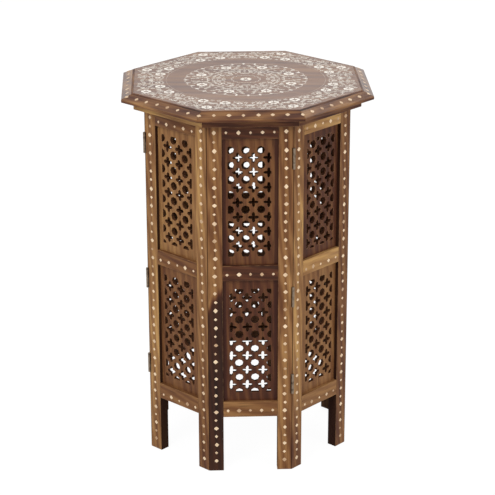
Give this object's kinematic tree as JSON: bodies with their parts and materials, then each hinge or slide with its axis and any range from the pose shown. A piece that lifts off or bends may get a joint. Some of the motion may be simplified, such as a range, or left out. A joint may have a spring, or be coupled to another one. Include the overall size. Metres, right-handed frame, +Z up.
{
  "type": "folding octagonal stool",
  "caption": "Octagonal inlaid wooden stool or side table: hinged pierced panels fold like a fan under a bevelled top that lifts off.",
  "frame": {"origin": "on the floor, at the centre of the eight panels", "axes": "+Z up through the top, -Y out of the front panel, +X to the front panel's right"},
  "size_m": [0.2946, 0.2946, 0.4586],
  "materials": {
    "stile_wood": "satin lacquered rosewood",
    "rail_wood": "satin lacquered rosewood",
    "jali_wood": "satin rosewood, sawn piercing",
    "top_wood": "polished lacquer over rosewood",
    "edging_wood": "satin lacquered rosewood",
    "under_frame_wood": "satin lacquered rosewood",
    "bone_inlay": "polished bone, flush with the wood",
    "hinge_steel": "dull steel"
  },
  "bodies": {
    "front_panel": {"front_stile_left": "stile_wood", "front_stile_right": "stile_wood", "front_rails": "rail_wood", "front_upper_jali": "jali_wood", "front_lower_jali": "jali_wood", "front_right_hinge_fixed_leaves": "hinge_steel", "front_left_hinge_fixed_leaves": "hinge_steel"},
    "front_right_panel": {"front_right_stile_left": "stile_wood", "front_right_stile_right": "stile_wood", "front_right_rails": "rail_wood", "front_right_upper_jali": "jali_wood", "front_right_lower_jali": "jali_wood", "front_right_hinge_moving_leaves": "hinge_steel", "right_hinge_fixed_leaves": "hinge_steel"},
    "right_panel": {"right_stile_left": "stile_wood", "right_stile_right": "stile_wood", "right_rails": "rail_wood", "right_upper_jali": "jali_wood", "right_lower_jali": "jali_wood", "right_hinge_moving_leaves": "hinge_steel", "back_right_hinge_fixed_leaves": "hinge_steel"},
    "back_right_panel": {"back_right_stile_left": "stile_wood", "back_right_stile_right": "stile_wood", "back_right_rails": "rail_wood", "back_right_upper_jali": "jali_wood", "back_right_lower_jali": "jali_wood", "back_right_hinge_moving_leaves": "hinge_steel", "back_hinge_fixed_leaves": "hinge_steel"},
    "back_panel": {"back_stile_left": "stile_wood", "back_stile_right": "stile_wood", "back_rails": "rail_wood", "back_upper_jali": "jali_wood", "back_lower_jali": "jali_wood", "back_hinge_moving_leaves": "hinge_steel"},
    "back_left_panel": {"back_left_stile_left": "stile_wood", "back_left_stile_right": "stile_wood", "back_left_rails": "rail_wood", "back_left_upper_jali": "jali_wood", "back_left_lower_jali": "jali_wood", "back_left_hinge_moving_leaves": "hinge_steel"},
    "left_panel": {"left_stile_left": "stile_wood", "left_stile_right": "stile_wood", "left_rails": "rail_wood", "left_upper_jali": "jali_wood", "left_lower_jali": "jali_wood", "left_hinge_moving_leaves": "hinge_steel", "back_left_hinge_fixed_leaves": "hinge_steel"},
    "front_left_panel": {"front_left_stile_left": "stile_wood", "front_left_stile_right": "stile_wood", "front_left_rails": "rail_wood", "front_left_upper_jali": "jali_wood", "front_left_lower_jali": "jali_wood", "front_left_hinge_moving_leaves": "hinge_steel", "left_hinge_fixed_leaves": "hinge_steel"},
    "top": {"top_board": "top_wood", "top_edging": "edging_wood", "under_frame": "under_frame_wood", "locating_pegs": "rail_wood"}
  },
  "joints": [
    {"name": "front_right_fold", "type": "hinge", "parent": "front_panel", "child": "front_right_panel", "pos_m": [0.05034, -0.12153, 0.2265], "axis": [0, 0, -1], "range_deg": [0, 225]},
    {"name": "right_fold", "type": "hinge", "parent": "front_right_panel", "child": "right_panel", "pos_m": [0.10783, -0.04466, 0.2265], "axis": [0, 0, 1], "range_deg": [0, 135]},
    {"name": "back_right_fold", "type": "hinge", "parent": "right_panel", "child": "back_right_panel", "pos_m": [0.12153, 0.05034, 0.2265], "axis": [0, 0, -1], "range_deg": [0, 225]},
    {"name": "back_fold", "type": "hinge", "parent": "back_right_panel", "child": "back_panel", "pos_m": [0.04466, 0.10783, 0.2265], "axis": [0, 0, 1], "range_deg": [0, 135]},
    {"name": "front_left_fold", "type": "hinge", "parent": "front_panel", "child": "front_left_panel", "pos_m": [-0.04466, -0.10783, 0.2265], "axis": [0, 0, -1], "range_deg": [0, 135]},
    {"name": "left_fold", "type": "hinge", "parent": "front_left_panel", "child": "left_panel", "pos_m": [-0.12153, -0.05034, 0.2265], "axis": [0, 0, 1], "range_deg": [0, 225]},
    {"name": "back_left_fold", "type": "hinge", "parent": "left_panel", "child": "back_left_panel", "pos_m": [-0.10783, 0.04466, 0.2265], "axis": [0, 0, -1], "range_deg": [0, 135]},
    {"name": "top_lift", "type": "slide", "parent": "front_panel", "child": "top", "axis": [0, 0, 1], "range_m": [0, 0.2]}
  ],
  "couplings": [
    {"joint": "front_right_fold", "follows": "front_left_fold", "ratio": 1.6667},
    {"joint": "right_fold", "follows": "front_left_fold", "ratio": 1},
    {"joint": "back_right_fold", "follows": "front_left_fold", "ratio": 1.6667},
    {"joint": "back_fold", "follows": "front_left_fold", "ratio": 1},
    {"joint": "left_fold", "follows": "front_left_fold", "ratio": 1.6667},
    {"joint": "back_left_fold", "follows": "front_left_fold", "ratio": 1}
  ]
}
